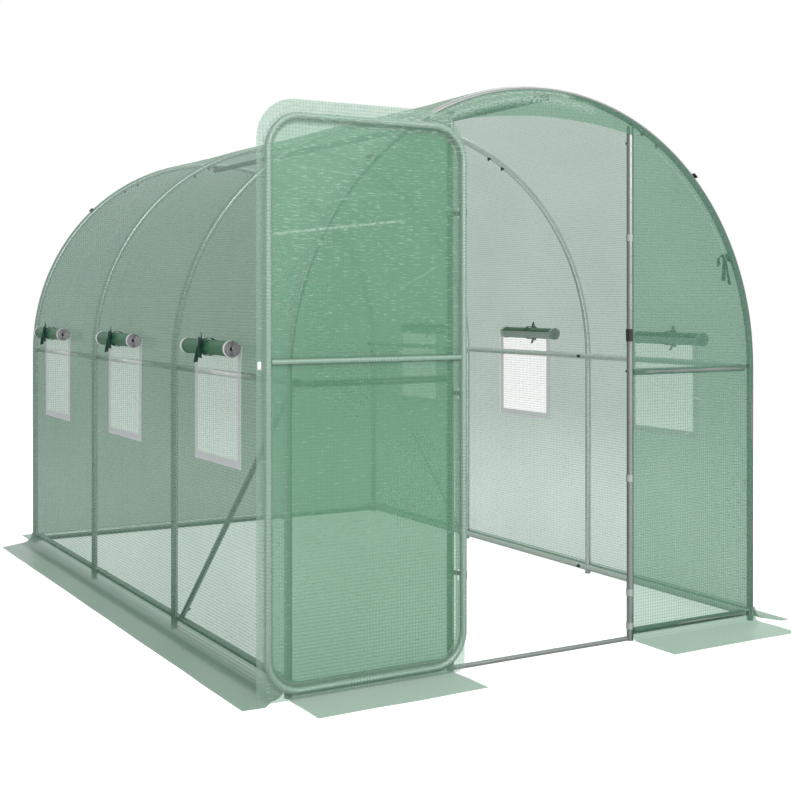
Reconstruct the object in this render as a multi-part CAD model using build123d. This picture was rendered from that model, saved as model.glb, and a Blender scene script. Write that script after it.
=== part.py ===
from build123d import *
import math
import os

# Polytunnel greenhouse: four tube hoops under a film cover, with a hinged door.
# Millimetres, +Z up. The door end faces -Y, and X runs across the tunnel.
# The origin is on the ground, at the middle of the footprint.
# The door stands open at rest, folded back flat against the left of the front.

# Hoops
leg_spacing = 1975.0
leg_height = 985.0
bay_length = 1000.0
bay_count = 3
tube_d = 25.0
tube_wall = 1.0
bow_pieces = 3

# Joints between tube lengths: one end is drawn down and slides into the next
spigot_length = 45.0
spigot_clearance = 0.3
right_joint_offset = 55.0
left_joint_offset = -55.0

# Clearance between a piece and what it rests against
seat_gap = 0.3

# Rails, posts and braces
base_rail_height = 33.0
front_waist_drop = 7.0
door_post_x = 388.0
sill_d = 16.0
brace_d = 20.0
brace_top_drop = 6.0
brace_foot_drop = 9.0

# Cover film, drawn thicker than the real sheet
film_t = 2.0
wall_seam_rise = 215.0
header_depth = 105.0
header_arch_rise = 40.0
panel_post_lap = 4.0

# Ground flaps
side_bend_r = 50.0
end_bend_r = 20.0
left_flap_front_w = 175.0
left_flap_back_w = 161.0
right_flap_front_w = 103.0
right_flap_back_w = 135.0
left_flap_past_end = 63.0
right_flap_past_end = 78.0
side_flap_back_short = 60.0
end_flap_w = 236.0
end_flap_post_lap = 2.0

# Screened windows
window_w = 412.0
window_h = 414.0
window_top_rise = 101.0
window_border = 28.0
border_t = 3.2
screen_t = 1.0
left_window_shift = 50.0
right_window_shift = 8.0
roll_d = 60.0
roll_drop = 7.0
roll_tie_w = 22.0
roll_tie_t = 1.2

# Door
hinge_post_inset = 22.0
hinge_stand_off = 35.0
door_tube_d = 22.0
door_stand_off = 10.0
hinge_stile_offset = 10.0
door_free_gap = 12.5
door_foot = 37.0
door_head_gap = 29.0
door_corner_r = 110.0
door_bar_d = 16.0
door_bar_height = 1052.0
door_film_rise = 52.0
door_film_foot = 8.0
door_film_lap = 34.0
door_film_corner_r = 130.0
door_film_foot_r = 30.0

# Hinges
hinge_heights = (330.0, 930.0, 1530.0)
knuckle_r = 6.0
pin_r = 3.0
pin_clearance = 0.2
knuckle_h = 14.0
moving_knuckle_h = 10.0
knuckle_gap = 0.6
leaf_t = 2.4
strap_t = 1.6
strap_h = 26.0

# Small fittings
latch_plate_w = 12.0
latch_plate_h = 24.0
latch_plate_t = 2.0
latch_plate_height = 1030.0
keeper_h = 45.0
keeper_height = 1090.0
keeper_t = 2.2
post_clip_h = 24.0
post_clip_t = 1.6
post_clip_heights = (55.0, 176.0, 592.0, 1467.0)
hoop_clip_angle = 46.0
hoop_clip_w = 20.0
hoop_clip_l = 24.0
hoop_clip_t = 5.0

# Worked out from the sizes above
leg_x = leg_spacing / 2
bow_r = leg_x
tube_r = tube_d / 2
bore_d = tube_d - 2 * tube_wall
hoop_ys = [(i - bay_count / 2) * bay_length for i in range(bay_count + 1)]
front_y = hoop_ys[0]
back_y = hoop_ys[-1]
rail_x = leg_x - tube_d - seat_gap
ridge_z = leg_height + bow_r - tube_d - seat_gap
waist_z = leg_height - front_waist_drop
cover_in = bow_r + tube_r + seat_gap
cover_out = cover_in + film_t
cover_front = front_y - tube_r - seat_gap - film_t
cover_back = back_y + tube_r + seat_gap + film_t
wall_top = leg_height + wall_seam_rise
window_top = leg_height + window_top_rise
window_sill = window_top - window_h
header_middle_z = leg_height + cover_in - seat_gap - header_depth
header_side_z = header_middle_z - header_arch_rise
hinge_x = hinge_post_inset - door_post_x
hinge_y = front_y - hinge_stand_off
door_closed_y = front_y - door_stand_off
door_open_y = 2 * hinge_y - door_closed_y
door_w = door_post_x - tube_r - door_free_gap - door_tube_d / 2 - hinge_x - hinge_stile_offset
door_top = header_side_z - door_head_gap
door_film_top = door_top + door_film_rise
flap_wall_x = leg_x + tube_r

nodes = {}


def straight_tube(start, end, outer_d, inner_d=0.0):
    """A round tube from one point to another."""
    run = Vector(*end) - Vector(*start)
    ring = Circle(outer_d / 2)
    if inner_d:
        ring -= Circle(inner_d / 2)
    return extrude(Plane(origin=start, z_dir=run) * ring, amount=run.length)


def swaged_tube(start, end):
    """A tube whose far end is drawn down to a spigot that enters the next length."""
    run = Vector(*end) - Vector(*start)
    spigot_r = bore_d / 2 - spigot_clearance
    shoulder = run.length - 2 * tube_wall
    profile = make_face(Polyline(
        (bore_d / 2, 0), (tube_r, 0), (tube_r, run.length), (spigot_r, run.length),
        (spigot_r, run.length + spigot_length), (0, run.length + spigot_length),
        (0, shoulder), (bore_d / 2, shoulder), (bore_d / 2, 0),
    ))
    turned = revolve(Plane.XZ * profile, axis=Axis.Z)
    return Plane(origin=start, z_dir=run).location * turned


def rail_run(x, z, joint_offset):
    """A rail along the tunnel in swaged lengths, joined beside the inner hoops."""
    joints = [y + joint_offset for y in hoop_ys[1:-1]]
    stations = [front_y - tube_r] + joints + [back_y + tube_r]
    pieces = []
    for start, end in zip(stations[:-2], stations[1:-1]):
        pieces.append(swaged_tube((x, start, z), (x, end, z)))
    pieces.append(straight_tube((x, stations[-2], z), (x, stations[-1], z), tube_d, bore_d))
    return pieces


def arch_face(radius, foot):
    """The outline of the tunnel's cross-section: upright sides under a half circle."""
    return make_face([
        Line((-radius, foot), (radius, foot)),
        Line((radius, foot), (radius, leg_height)),
        ThreePointArc((radius, leg_height), (0, leg_height + radius), (-radius, leg_height)),
        Line((-radius, leg_height), (-radius, foot)),
    ])


def along_y(face, start, end):
    """Pushes a face drawn in X and Z from one Y to another."""
    plane = Plane(origin=(0, end, 0), x_dir=(1, 0, 0), z_dir=(0, -1, 0))
    return extrude(plane * face, amount=end - start)


def cover_shell(inner, outer, start, end, foot):
    """A skin that follows the hoops between two radii."""
    return along_y(arch_face(outer, foot) - arch_face(inner, foot), start, end)


def block(x0, x1, y0, y1, z0, z1):
    """A box between two corners."""
    centre = ((x0 + x1) / 2, (y0 + y1) / 2, (z0 + z1) / 2)
    return Pos(*centre) * Box(abs(x1 - x0), abs(y1 - y0), abs(z1 - z0))


def ring_arc(centre, inner, outer, start_angle, sweep, z0, height):
    """Part of an upright ring round a post or stile."""
    ring = Circle(outer) - Circle(inner)
    if sweep < 360:
        reach = 2 * outer
        points = [(0, 0)]
        steps = 6
        for i in range(steps + 1):
            a = math.radians(start_angle + sweep * i / steps)
            points.append((reach * math.cos(a), reach * math.sin(a)))
        points.append((0, 0))
        ring = ring & make_face(Polyline(*points))
    return extrude(Pos(centre[0], centre[1], z0) * ring, amount=height)


def upright_plate(start, end, thickness, z0, height):
    """An upright plate between two points on the ground plan."""
    run = Vector(end[0] - start[0], end[1] - start[1])
    turn = math.degrees(math.atan2(run.Y, run.X))
    middle = ((start[0] + end[0]) / 2, (start[1] + end[1]) / 2, z0 + height / 2)
    return Pos(*middle) * Rot(0, 0, turn) * Box(run.length, thickness, height)


def write(name, solids):
    """Writes a named piece, or a group of like pieces that don't touch."""
    shapes = []
    for solid in solids:
        shapes.extend(solid.solids())
    export_step(shapes[0] if len(shapes) == 1 else Compound(children=shapes), f"parts/{name}.step")


def make_hoops():
    """Each hoop stands on two legs, and a bow of three lengths joins them."""
    sweep = 180.0 / bow_pieces
    for name, y in zip(("front", "second", "third", "back"), hoop_ys):
        legs = [straight_tube((x, y, 0), (x, y, leg_height - seat_gap), tube_d, bore_d)
                for x in (-leg_x, leg_x)]
        nodes[f"{name}_hoop_legs"] = legs
        section = Pos(bow_r, y, leg_height) * Circle(tube_r)
        axis = Axis((0, y, leg_height), (0, -1, 0))
        half_gap = math.degrees(seat_gap / 2 / bow_r)
        bow = []
        for i in range(bow_pieces):
            piece = revolve(section, axis=axis, revolution_arc=sweep - 2 * half_gap)
            bow.append(piece.rotate(axis, i * sweep + half_gap))
        nodes[f"{name}_hoop_bow"] = bow


def make_rails():
    """Rails tie the hoops at the ridge, the waist and the base."""
    nodes["ridge_rail"] = rail_run(0, ridge_z, right_joint_offset)
    nodes["left_waist_rail"] = rail_run(-rail_x, leg_height, left_joint_offset)
    nodes["right_waist_rail"] = rail_run(rail_x, leg_height, right_joint_offset)
    nodes["left_base_rail"] = rail_run(-rail_x, base_rail_height, left_joint_offset)
    nodes["right_base_rail"] = rail_run(rail_x, base_rail_height, right_joint_offset)
    end_x = rail_x - tube_r - seat_gap
    nodes["back_base_rail"] = [straight_tube(
        (-end_x, back_y, base_rail_height), (end_x, back_y, base_rail_height), tube_d, bore_d)]


def make_front_bars():
    """Two posts frame the doorway, with short rails from post to leg each side."""
    top = leg_height + math.sqrt((bow_r - tube_r) ** 2 - (door_post_x + tube_r) ** 2)
    for side, x in (("left", -door_post_x), ("right", door_post_x)):
        nodes[f"{side}_door_post"] = [straight_tube(
            (x, front_y, 0), (x, front_y, top - seat_gap), tube_d, bore_d)]
    near = door_post_x + tube_r + seat_gap
    far = rail_x - tube_r - seat_gap
    for name, z in (("front_waist_rails", waist_z), ("front_base_rails", base_rail_height)):
        nodes[name] = [straight_tube((s * near, front_y, z), (s * far, front_y, z), tube_d, bore_d)
                       for s in (-1, 1)]
    sill_end = door_post_x - tube_r - seat_gap
    sill_z = sill_d / 2
    nodes["door_sill"] = [straight_tube(
        (-sill_end, front_y, sill_z), (sill_end, front_y, sill_z), sill_d, sill_d - 2 * tube_wall)]


def make_braces():
    """One brace a side, in the front bay on the left and the back bay on the right."""
    inner = brace_d - 2 * tube_wall
    x = leg_x - tube_r - brace_d / 2 - seat_gap
    foot_z = base_rail_height - brace_foot_drop
    top_z = leg_height - brace_top_drop
    for name, side, foot_y, top_y in (("left_brace", -1, hoop_ys[1], front_y),
                                      ("right_brace", 1, hoop_ys[-2], back_y)):
        bar = straight_tube((side * x, foot_y, foot_z), (side * x, top_y, top_z), brace_d, inner)
        for z in (base_rail_height, leg_height):
            rail = Pos(side * rail_x, 0, z) * Rot(90, 0, 0) * Cylinder(tube_r + seat_gap, 2 * cover_back)
            bar -= rail
        nodes[name] = [bar.solids().sort_by(SortBy.VOLUME)[-1]]


def window_centres(shift):
    """The Y of each window's middle, one to a bay."""
    return [(a + b) / 2 + shift for a, b in zip(hoop_ys[:-1], hoop_ys[1:])]


def window_boxes(side, shift, margin):
    """Boxes through one wall, each a window grown by a margin."""
    boxes = []
    for y in window_centres(shift):
        boxes.append(block(
            side * (cover_in - tube_d), side * (cover_out + tube_d),
            y - window_w / 2 - margin, y + window_w / 2 + margin,
            window_sill - margin, window_top + margin))
    return boxes


def make_cover():
    """The long sheet over the hoops, in two walls and a roof, and the end sheets."""
    shell = cover_shell(cover_in, cover_out, cover_front, cover_back, side_bend_r)
    high = leg_height + cover_out + 1
    wide = cover_out + 1
    long = (cover_front - 1, cover_back + 1)
    for name, side, shift in (("left", -1, left_window_shift), ("right", 1, right_window_shift)):
        wall = shell & block(0, side * wide, *long, 0, wall_top)
        for cut in window_boxes(side, shift, seat_gap):
            wall -= cut
        nodes[f"{name}_wall_film"] = [wall]
    nodes["roof_film"] = [shell & block(-wide, wide, *long, wall_top, high)]
    inner_face = arch_face(cover_in - seat_gap, end_bend_r)
    nodes["back_wall_film"] = [along_y(inner_face, cover_back - film_t, cover_back)]
    sheet = along_y(inner_face, cover_front, cover_front + film_t)
    edge = door_post_x + panel_post_lap
    for name, side in (("left", -1), ("right", 1)):
        nodes[f"front_{name}_panel"] = [sheet & block(side * edge, side * wide, *long, 0, high)]
    opening = make_face([
        Line((-edge, 0), (edge, 0)),
        Line((edge, 0), (edge, header_side_z)),
        ThreePointArc((edge, header_side_z), (0, header_middle_z), (-edge, header_side_z)),
        Line((-edge, header_side_z), (-edge, 0)),
    ])
    header = sheet & block(-edge, edge, *long, 0, high)
    nodes["front_header_film"] = [header - along_y(opening, cover_front - 1, cover_front + film_t + 1)]


def bend(radius):
    """A quarter bend from upright at the origin down and out to the ground."""
    return make_face([
        Line((0, radius), (film_t, radius)),
        RadiusArc((film_t, radius), (radius, film_t), radius - film_t),
        Line((radius, film_t), (radius, 0)),
        RadiusArc((radius, 0), (0, radius), -radius),
    ])


def flap(points):
    """A flat flap on the ground."""
    return extrude(make_face(Polyline(*points, points[0])), amount=film_t)


def end_flap(outward, start, end):
    """A flap across an end of the tunnel, from one X to another."""
    edge = cover_back - film_t
    fold = edge + end_bend_r
    reach = back_y + end_flap_w
    upright = Plane(origin=(start if outward > 0 else end, outward * edge, 0),
                    x_dir=(0, outward, 0), z_dir=(outward, 0, 0))
    turn = extrude(upright * bend(end_bend_r), amount=end - start)
    return turn + flap([(start, outward * fold), (end, outward * fold),
                        (end, outward * reach), (start, outward * reach)])


def make_flaps():
    """The cover turns outwards at the ground, and its flaps take stones or soil."""
    for name, side, past_end, front_w, back_w in (
            ("left", -1, left_flap_past_end, left_flap_front_w, left_flap_back_w),
            ("right", 1, right_flap_past_end, right_flap_front_w, right_flap_back_w)):
        fold = cover_in + side_bend_r
        turn = along_y(Pos(cover_in, 0) * bend(side_bend_r), cover_front, cover_back)
        if side < 0:
            turn = mirror(turn, about=Plane.YZ)
        front = front_y - past_end
        sheet = flap([(side * fold, front), (side * (flap_wall_x + front_w), front),
                      (side * (flap_wall_x + back_w), back_y - side_flap_back_short),
                      (side * fold, cover_back)])
        nodes[f"{name}_flap"] = [turn + sheet]
    inner = door_post_x + end_flap_post_lap
    nodes["front_flaps"] = [end_flap(-1, -flap_wall_x, -inner), end_flap(-1, inner, flap_wall_x)]
    nodes["back_flap"] = [end_flap(1, -flap_wall_x, flap_wall_x)]


def make_windows():
    """Each bay has a screened opening each side, and its flap is rolled up and tied."""
    middle = cover_out - film_t / 2
    rim = cover_shell(middle - border_t / 2, middle + border_t / 2, cover_front, cover_back, 0)
    core = cover_shell(middle - screen_t / 2, middle + screen_t / 2, cover_front, cover_back, 0)
    proud = (border_t - film_t) / 2
    roll_centre_r = cover_out + proud + roll_d / 2 + roll_tie_t + 2 * seat_gap
    roll_height = window_top - roll_drop
    rise = roll_height - leg_height
    roll_x = math.sqrt(roll_centre_r ** 2 - rise ** 2)
    ties = []
    for name, side, shift in (("left", -1, left_window_shift), ("right", 1, right_window_shift)):
        screens = []
        outer = window_boxes(side, shift, 0)
        inner = window_boxes(side, shift, -window_border)
        for whole, hole in zip(outer, inner):
            screens.append(((rim & whole) - hole) + (core & whole))
        nodes[f"{name}_window_screens"] = screens
        rolls = []
        for y in window_centres(shift):
            start = (side * roll_x, y - window_w / 2, roll_height)
            end = (side * roll_x, y + window_w / 2, roll_height)
            rolls.append(straight_tube(start, end, roll_d))
            inner_d = roll_d + 2 * seat_gap
            ties.append(straight_tube(
                (side * roll_x, y - roll_tie_w / 2, roll_height),
                (side * roll_x, y + roll_tie_w / 2, roll_height),
                inner_d + 2 * roll_tie_t, inner_d))
        nodes[f"{name}_window_rolls"] = rolls
    nodes["window_roll_ties"] = ties


def make_fittings():
    """Clips hold the film to the post and hoops, and a band on the post takes the latch."""
    post = (door_post_x, front_y)
    inner = tube_r + seat_gap
    nodes["post_clips"] = [ring_arc(post, inner, inner + post_clip_t, 90, 180, z - post_clip_h / 2, post_clip_h)
                           for z in post_clip_heights]
    nodes["latch_keeper"] = [ring_arc(post, inner, inner + keeper_t, 90, 180, keeper_height, keeper_h)]
    clips = []
    for y in (front_y, back_y):
        for angle in (hoop_clip_angle, 180 - hoop_clip_angle):
            saddle = Box(hoop_clip_t, hoop_clip_l, hoop_clip_w)
            saddle = Pos(cover_out + seat_gap + hoop_clip_t / 2, 0, 0) * saddle
            clips.append(Pos(0, y, leg_height) * Rot(0, -angle, 0) * saddle)
    nodes["hoop_clips"] = clips


def open_door(d):
    """The X of a line on the open door at a distance from the hinge line."""
    return hinge_x - d


def make_door():
    """A rounded loop of tube with a cross bar and a film skin, drawn open."""
    near = open_door(hinge_stile_offset)
    far = open_door(hinge_stile_offset + door_w)
    y = door_open_y
    r = door_corner_r
    pieces = []
    for x in (near, far):
        pieces.append(straight_tube((x, y, door_foot + r), (x, y, door_top - r), door_tube_d))
    for z in (door_foot, door_top):
        pieces.append(straight_tube((near - r, y, z), (far + r, y, z), door_tube_d))
    for cx, cz, start in ((near - r, door_top - r, 0), (far + r, door_top - r, 90),
                          (far + r, door_foot + r, 180), (near - r, door_foot + r, 270)):
        axis = Axis((cx, y, cz), (0, -1, 0))
        corner = revolve(Pos(cx + r, y, cz) * Circle(door_tube_d / 2), axis=axis, revolution_arc=90)
        pieces.append(corner.rotate(axis, start))
    frame = pieces[0]
    for piece in pieces[1:]:
        frame = frame + piece
    nodes["door_frame"] = [frame]
    bar_end = door_tube_d / 2 + seat_gap
    nodes["door_mid_bar"] = [straight_tube(
        (near - bar_end, y, door_bar_height), (far + bar_end, y, door_bar_height), door_bar_d)]
    film_near = near + door_tube_d / 2 + film_t
    film_far = far - door_film_lap
    outline = Rectangle(film_near - film_far, door_film_top - door_film_foot)
    corners = outline.vertices().sort_by(Axis.Y)
    outline = fillet(corners[:2], door_film_foot_r)
    outline = fillet(outline.vertices().sort_by(Axis.Y)[-2:], door_film_corner_r)
    middle = ((film_near + film_far) / 2, (door_film_top + door_film_foot) / 2)
    film_y = y + door_tube_d / 2 + seat_gap
    film = along_y(Pos(*middle) * outline, film_y, film_y + film_t)
    notch_h = strap_h + 10
    for z in hinge_heights:
        film -= block(near - door_tube_d / 2 - film_t - 2, film_near + 1, film_y - 1, film_y + film_t + 1,
                      z - notch_h / 2, z + notch_h / 2)
    nodes["door_film"] = [film]
    plate_y = film_y - seat_gap
    plate_x = film_far + latch_plate_w / 2 + 4
    nodes["door_latch_plate"] = [block(
        plate_x - latch_plate_w / 2, plate_x + latch_plate_w / 2, plate_y - latch_plate_t, plate_y,
        latch_plate_height, latch_plate_height + latch_plate_h)]


def make_hinges():
    """Straps round the post and the door's stile, with knuckles on a pin between them."""
    post = (-door_post_x, front_y)
    stile = (open_door(hinge_stile_offset), door_open_y)
    axis = (hinge_x, hinge_y)
    post_strap = tube_r + seat_gap
    stile_strap = door_tube_d / 2 + seat_gap
    fixed = []
    moving = []
    for z in hinge_heights:
        low = z - knuckle_h / 2
        strap_low = z - strap_h / 2
        to_axis = Vector(axis[0] - post[0], axis[1] - post[1])
        reach = to_axis.normalized()
        start = (post[0] + reach.X * (post_strap + strap_t / 2), post[1] + reach.Y * (post_strap + strap_t / 2))
        end = (axis[0] - reach.X * (knuckle_r - 1), axis[1] - reach.Y * (knuckle_r - 1))
        leaf = ring_arc(post, post_strap, post_strap + strap_t, -90, 180, low, knuckle_h)
        leaf += upright_plate(start, end, leaf_t, low, knuckle_h)
        leaf += Pos(axis[0], axis[1], z) * Cylinder(knuckle_r, knuckle_h)
        leaf -= Pos(axis[0], axis[1], z) * Cylinder(pin_r + pin_clearance, knuckle_h + 2)
        fixed.append(leaf)
        to_axis = Vector(axis[0] - stile[0], axis[1] - stile[1])
        reach = to_axis.normalized()
        facing = math.degrees(math.atan2(reach.Y, reach.X))
        start = (stile[0] + reach.X * (stile_strap + strap_t / 2), stile[1] + reach.Y * (stile_strap + strap_t / 2))
        end = (axis[0] - reach.X * (knuckle_r - 1), axis[1] - reach.Y * (knuckle_r - 1))
        span = knuckle_h + 2 * (knuckle_gap + moving_knuckle_h)
        leaf = ring_arc(stile, stile_strap, stile_strap + strap_t, facing - 100, 200, strap_low, strap_h)
        plate = upright_plate(start, end, leaf_t, z - span / 2, span)
        plate -= Pos(axis[0], axis[1], z) * Cylinder(knuckle_r + 1, knuckle_h + 2 * knuckle_gap)
        leaf += plate
        for s in (-1, 1):
            centre = z + s * (knuckle_h / 2 + knuckle_gap + moving_knuckle_h / 2)
            leaf += Pos(axis[0], axis[1], centre) * Cylinder(knuckle_r, moving_knuckle_h)
        leaf += Pos(axis[0], axis[1], z) * Cylinder(pin_r, span)
        moving.append(leaf)
    nodes["post_hinge_straps"] = fixed
    nodes["door_hinge_straps"] = moving


make_hoops()
make_rails()
make_front_bars()
make_braces()
make_cover()
make_flaps()
make_windows()
make_fittings()
make_door()
make_hinges()

os.makedirs("parts", exist_ok=True)
for node, solids in nodes.items():
    write(node, solids)
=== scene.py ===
import math

import bmesh
import bpy
from mathutils import Matrix, Vector, noise


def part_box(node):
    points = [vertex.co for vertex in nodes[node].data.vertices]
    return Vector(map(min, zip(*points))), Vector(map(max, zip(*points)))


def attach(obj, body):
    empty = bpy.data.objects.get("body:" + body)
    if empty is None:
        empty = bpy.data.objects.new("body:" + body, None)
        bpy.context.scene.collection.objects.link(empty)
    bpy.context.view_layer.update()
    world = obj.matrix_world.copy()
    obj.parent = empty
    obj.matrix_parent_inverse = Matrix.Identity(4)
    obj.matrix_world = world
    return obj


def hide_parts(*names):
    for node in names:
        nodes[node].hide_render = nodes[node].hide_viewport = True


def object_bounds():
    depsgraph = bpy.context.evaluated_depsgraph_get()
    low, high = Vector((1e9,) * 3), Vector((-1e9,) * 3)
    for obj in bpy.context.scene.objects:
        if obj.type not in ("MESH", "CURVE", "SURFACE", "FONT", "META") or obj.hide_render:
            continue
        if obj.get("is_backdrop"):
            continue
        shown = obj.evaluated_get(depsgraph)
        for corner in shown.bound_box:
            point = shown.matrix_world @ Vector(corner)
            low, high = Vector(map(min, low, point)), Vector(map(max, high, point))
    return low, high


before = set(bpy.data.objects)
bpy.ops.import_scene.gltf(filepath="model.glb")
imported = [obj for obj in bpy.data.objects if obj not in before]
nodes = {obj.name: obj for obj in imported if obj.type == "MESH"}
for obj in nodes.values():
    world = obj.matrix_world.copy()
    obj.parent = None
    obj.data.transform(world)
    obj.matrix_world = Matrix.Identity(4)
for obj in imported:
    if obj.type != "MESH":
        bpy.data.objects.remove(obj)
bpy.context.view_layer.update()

# The viewpoint: in front and to the left of the doorway, 1.25 m above the ground.
# The picture is cropped low, so the lens looks level and shifts down.
lens = bpy.data.cameras.new("viewpoint")
lens.sensor_width = 36.0
lens.lens = 58.89
lens.shift_y = -0.12745
lens.clip_start = 0.1
lens.clip_end = 200.0
camera = bpy.data.objects.new("viewpoint", lens)
camera.location = (-2.7437, -5.2021, 1.2479)
camera.rotation_euler = (math.pi / 2, 0.0, -0.5248)
bpy.context.collection.objects.link(camera)
bpy.context.scene.camera = camera
bpy.context.scene.view_settings.view_transform = "Standard"


def add_node(graph, kind, inputs=None, **settings):
    """Adds a shader node, with values or links on its inputs."""
    node = graph.nodes.new(kind)
    for key, value in settings.items():
        setattr(node, key, value)
    for key, value in (inputs or {}).items():
        if isinstance(value, bpy.types.NodeSocket):
            graph.links.new(value, node.inputs[key])
        else:
            node.inputs[key].default_value = value
    return node


def combine(graph, operation, *values, clamp=False):
    """The result of a sum, product or the like, on values or links."""
    node = add_node(graph, "ShaderNodeMath", dict(enumerate(values)), operation=operation, use_clamp=clamp)
    return node.outputs[0]


def remap(graph, value, start, stop, low, high):
    """A value brought from the range start to stop into the range low to high, and kept inside it."""
    return add_node(graph, "ShaderNodeMapRange", {
        "Value": value, "From Min": start, "From Max": stop, "To Min": low, "To Max": high}).outputs[0]


def blank_finish(name):
    """A new material and its empty graph."""
    finish = bpy.data.materials.new(name)
    finish.use_nodes = True
    finish.node_tree.nodes.clear()
    return finish, finish.node_tree


def make_object(name, shape, finish):
    """Turns a bmesh into an object with one finish."""
    mesh = bpy.data.meshes.new(name)
    shape.to_mesh(mesh)
    shape.free()
    mesh.materials.append(finish)
    piece = bpy.data.objects.new(name, mesh)
    bpy.context.collection.objects.link(piece)
    return piece


# The room: white all round, one broad soft lamp in front and a weaker one above.
# White surroundings show in the metal and through the film, and light the object less strongly.
room = bpy.data.worlds.new("white_room")
bpy.context.scene.world = room
room.use_nodes = True
room_graph = room.node_tree
room_graph.nodes.clear()
ray = add_node(room_graph, "ShaderNodeLightPath").outputs
sight = combine(room_graph, "MAXIMUM", ray["Is Camera Ray"], ray["Is Glossy Ray"])
sight = combine(room_graph, "MAXIMUM", sight, ray["Is Transmission Ray"])
glow = add_node(room_graph, "ShaderNodeBackground", {"Color": (1, 1, 1, 1), "Strength": 0.62})
backdrop = add_node(room_graph, "ShaderNodeBackground", {"Color": (1, 1, 1, 1), "Strength": 1.0})
seen = add_node(room_graph, "ShaderNodeMixShader", {0: sight, 1: glow.outputs[0], 2: backdrop.outputs[0]})
add_node(room_graph, "ShaderNodeOutputWorld", {"Surface": seen.outputs[0]})

for lamp_name, spot, aim, size, watts in (
        ("front_lamp", (-0.5, -7.5, 4.2), (0.0, 0.0, 0.9), 4.5, 330.0),
        ("top_lamp", (2.6, 1.0, 6.5), (0.0, 0.0, 0.5), 5.0, 170.0)):
    lamp = bpy.data.lights.new(lamp_name, "AREA")
    lamp.size = size
    lamp.energy = watts
    stand = bpy.data.objects.new(lamp_name, lamp)
    stand.location = spot
    stand.rotation_euler = (Vector(aim) - Vector(spot)).to_track_quat("-Z", "Y").to_euler()
    bpy.context.collection.objects.link(stand)

# Floor: a wide pale plane, white where it is open, with a soft shade under the film.
# Its glow eases off with distance, so that it meets the white room without a line.
floor_near, floor_far = 2.5, 9.0
glow_near, glow_far = 0.97, 0.79
floor_white, floor_graph = blank_finish("floor_white")
floor_ray = add_node(floor_graph, "ShaderNodeLightPath")
floor_paint = add_node(floor_graph, "ShaderNodeBsdfDiffuse", {"Color": (0.82, 0.82, 0.82, 1)})
floor_shade = add_node(floor_graph, "ShaderNodeBsdfDiffuse", {"Color": (0.38, 0.38, 0.38, 1)})
floor_place = add_node(floor_graph, "ShaderNodeTexCoord").outputs["Object"]
floor_reach = add_node(floor_graph, "ShaderNodeVectorMath", {0: floor_place}, operation="LENGTH")
floor_glow = remap(floor_graph, floor_reach.outputs["Value"], floor_near, floor_far, glow_near, glow_far)
floor_light = add_node(floor_graph, "ShaderNodeEmission", {"Strength": floor_glow})
floor_lit = add_node(floor_graph, "ShaderNodeAddShader", {0: floor_shade.outputs[0], 1: floor_light.outputs[0]})
floor_seen = add_node(floor_graph, "ShaderNodeMixShader", {
    0: floor_ray.outputs["Is Camera Ray"], 1: floor_paint.outputs[0], 2: floor_lit.outputs[0]})
add_node(floor_graph, "ShaderNodeOutputMaterial", {"Surface": floor_seen.outputs[0]})
ground = bmesh.new()
bmesh.ops.create_grid(ground, x_segments=1, y_segments=1, size=30.0)
floor = make_object("floor", ground, floor_white)
floor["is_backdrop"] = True


# Hoops, rails, posts, braces and door loop: steel tube, hot-dip galvanised.
# The zinc is a cool grey with a faint spangle, in lit and shaded copies: darker ones as painted shade on the front
# rails, sill, posts, ridge rail, front hoop, hinge straps and bolts, and lighter ones as painted light on the inner
# hoops, side and back rails, braces and door loop. The front hoop's copy is also a little rougher.
def metal(name, colour, roughness, spangle=240.0):
    """A bare metal whose shade and gloss vary in small patches."""
    finish, graph = blank_finish(name)
    place = add_node(graph, "ShaderNodeTexCoord").outputs["Object"]
    patches = add_node(graph, "ShaderNodeTexVoronoi", {"Vector": place, "Scale": spangle})
    cloud = add_node(graph, "ShaderNodeTexNoise", {"Vector": place, "Scale": 9.0, "Detail": 4.0})
    tone = remap(graph, patches.outputs["Color"], 0.0, 1.0, 0.86, 1.0)
    shade = add_node(graph, "ShaderNodeVectorMath", {0: colour, "Scale": tone}, operation="SCALE")
    gloss = remap(graph, cloud.outputs[0], 0.3, 0.7, roughness - 0.07, roughness + 0.1)
    bump = add_node(graph, "ShaderNodeBump", {"Height": cloud.outputs[0], "Strength": 0.05, "Distance": 0.002})
    steel = add_node(graph, "ShaderNodeBsdfPrincipled", {
        "Base Color": shade.outputs[0], "Metallic": 1.0, "Roughness": gloss, "Normal": bump.outputs[0]})
    add_node(graph, "ShaderNodeOutputMaterial", {"Surface": steel.outputs[0]})
    return finish


def finish_nodes(finish, names):
    """Gives CAD nodes a finish in place of the plain one."""
    for name in names:
        for place in nodes[name].material_slots:
            place.material = finish


# Darker copy for the front rails, sill, posts and ridge rail: painted shade.
galvanised = metal("galvanised_tube", (0.31, 0.335, 0.32), 0.34)
finish_nodes(galvanised, ("front_waist_rails", "front_base_rails", "door_sill", "left_door_post", "right_door_post",
                          "ridge_rail"))
# Darker, rougher copy for the front hoop: painted shade, with a rougher gloss.
shaded_dull_zinc = metal("shaded_dull_zinc", (0.33, 0.345, 0.34), 0.46)
finish_nodes(shaded_dull_zinc, ("front_hoop_legs", "front_hoop_bow"))
# Lighter copy for the inner hoops, side and back rails and braces: painted light.
lit_zinc = metal("lit_zinc", (0.80, 0.815, 0.81), 0.27)
finish_nodes(lit_zinc, (
    "second_hoop_legs", "third_hoop_legs", "back_hoop_legs", "second_hoop_bow", "third_hoop_bow", "back_hoop_bow",
    "left_waist_rail", "right_waist_rail", "left_base_rail", "right_base_rail", "back_base_rail",
    "left_brace", "right_brace"))
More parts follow.
